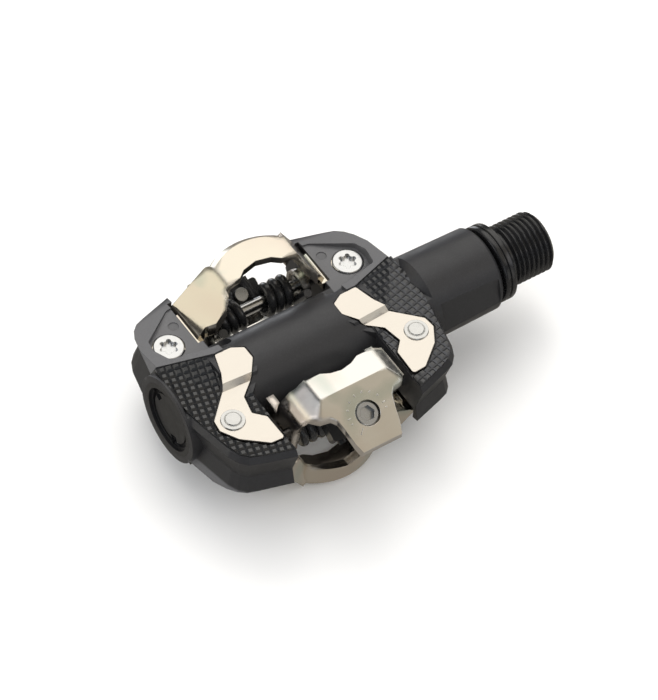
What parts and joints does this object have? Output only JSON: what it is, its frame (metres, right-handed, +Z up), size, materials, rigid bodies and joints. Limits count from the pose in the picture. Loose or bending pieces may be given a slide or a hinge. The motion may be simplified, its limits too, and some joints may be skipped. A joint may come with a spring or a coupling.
{
  "type": "clipless bicycle pedal",
  "caption": "Left-hand double-sided clipless pedal: moulded body on a threaded spindle, steel wear plates, fixed front arches and sprung rear claws with adjusting bolts.",
  "frame": {"origin": "on the spindle axis, at the flange face that seats against the crank", "axes": "+X along the spindle out of the pedal towards the crank, +Y towards the front of the pedal, +Z up, with the top tread level"},
  "size_m": [0.0959, 0.068, 0.0338],
  "materials": {
    "black_steel": "gloss black oxide",
    "bearing_steel": "ground bearing steel",
    "zinc_steel": "zinc plated",
    "cage_polymer": "natural nylon",
    "composite": "moulded glass-filled nylon, satin",
    "bush_polymer": "low-friction polymer",
    "seal_rubber": "nitrile rubber",
    "cap_polymer": "semi-gloss black",
    "nickel_plate": "satin nickel",
    "rivet_steel": "turned steel",
    "front_claw_nickel": "polished warm nickel",
    "rear_claw_nickel": "polished warm nickel",
    "screw_zinc": "bright zinc",
    "pin_steel": "ground steel",
    "spring_steel": "black spring wire",
    "black_steel_nut": "black zinc"
  },
  "bodies": {
    "spindle": {"spindle": "black_steel", "bearing_inner_race": "bearing_steel", "tab_washer": "bearing_steel", "lock_nut": "zinc_steel"},
    "ball_train": {"bearing_balls": "bearing_steel", "ball_cage": "cage_polymer"},
    "pedal_body": {"pedal_body": "composite", "bearing_outer_race": "bearing_steel", "bearing_shields": "bearing_steel", "glide_bush": "bush_polymer", "lip_seal": "seal_rubber", "end_cap": "cap_polymer", "end_cap_oring": "seal_rubber", "wear_plate_top_outboard": "nickel_plate", "wear_plate_top_inboard": "nickel_plate", "wear_plate_bottom_outboard": "nickel_plate", "wear_plate_bottom_inboard": "nickel_plate", "plate_rivets": "rivet_steel", "front_claw_top": "front_claw_nickel", "front_claw_bottom": "front_claw_nickel", "claw_screws": "screw_zinc", "pivot_pin_top": "pin_steel", "pivot_pin_bottom": "pin_steel", "torsion_spring_top": "spring_steel", "torsion_spring_bottom": "spring_steel"},
    "claw_top": {"rear_claw_top": "rear_claw_nickel"},
    "tension_bolt_top": {"tension_bolt_top": "zinc_steel"},
    "tension_nut_top": {"tension_nut_top": "black_steel_nut"},
    "claw_bottom": {"rear_claw_bottom": "rear_claw_nickel"},
    "tension_bolt_bottom": {"tension_bolt_bottom": "zinc_steel"},
    "tension_nut_bottom": {"tension_nut_bottom": "black_steel_nut"}
  },
  "joints": [
    {"name": "pedal_spin", "type": "hinge", "parent": "spindle", "child": "pedal_body", "pos_m": [0, 0, 0], "axis": [1, 0, 0], "continuous": true},
    {"name": "ball_train_spin", "type": "hinge", "parent": "spindle", "child": "ball_train", "pos_m": [0, 0, 0], "axis": [1, 0, 0], "continuous": true},
    {"name": "claw_top_release", "type": "hinge", "parent": "pedal_body", "child": "claw_top", "pos_m": [-0.053, -0.0162, -0.0004], "axis": [1, 0, 0], "range_deg": [0, 18], "stiffness_Nm_per_rad": 0.6, "springref_deg": -28.65, "deforming": ["torsion_spring_top"]},
    {"name": "tension_bolt_top_turn", "type": "hinge", "parent": "claw_top", "child": "tension_bolt_top", "pos_m": [-0.053, -0.0278, 0.0124], "axis": [0, 0.5105, -0.8599], "range_deg": [0, 1080]},
    {"name": "tension_nut_top_slide", "type": "slide", "parent": "claw_top", "child": "tension_nut_top", "axis": [0, -0.5105, 0.8599], "range_m": [0, 0.0021]},
    {"name": "claw_bottom_release", "type": "hinge", "parent": "pedal_body", "child": "claw_bottom", "pos_m": [-0.053, 0.0162, 0.0004], "axis": [1, 0, 0], "range_deg": [0, 18], "stiffness_Nm_per_rad": 0.6, "springref_deg": -28.65, "deforming": ["torsion_spring_bottom"]},
    {"name": "tension_bolt_bottom_turn", "type": "hinge", "parent": "claw_bottom", "child": "tension_bolt_bottom", "pos_m": [-0.053, 0.0278, -0.0124], "axis": [0, -0.5105, 0.8599], "range_deg": [0, 1080]},
    {"name": "tension_nut_bottom_slide", "type": "slide", "parent": "claw_bottom", "child": "tension_nut_bottom", "axis": [0, 0.5105, -0.8599], "range_m": [0, 0.0021]}
  ],
  "couplings": [
    {"joint": "ball_train_spin", "follows": "pedal_spin", "ratio": 0.5952},
    {"joint": "tension_bolt_top_turn", "follows": "tension_nut_top_slide", "rad_per_m": 8976},
    {"joint": "tension_bolt_bottom_turn", "follows": "tension_nut_bottom_slide", "rad_per_m": 8976}
  ]
}
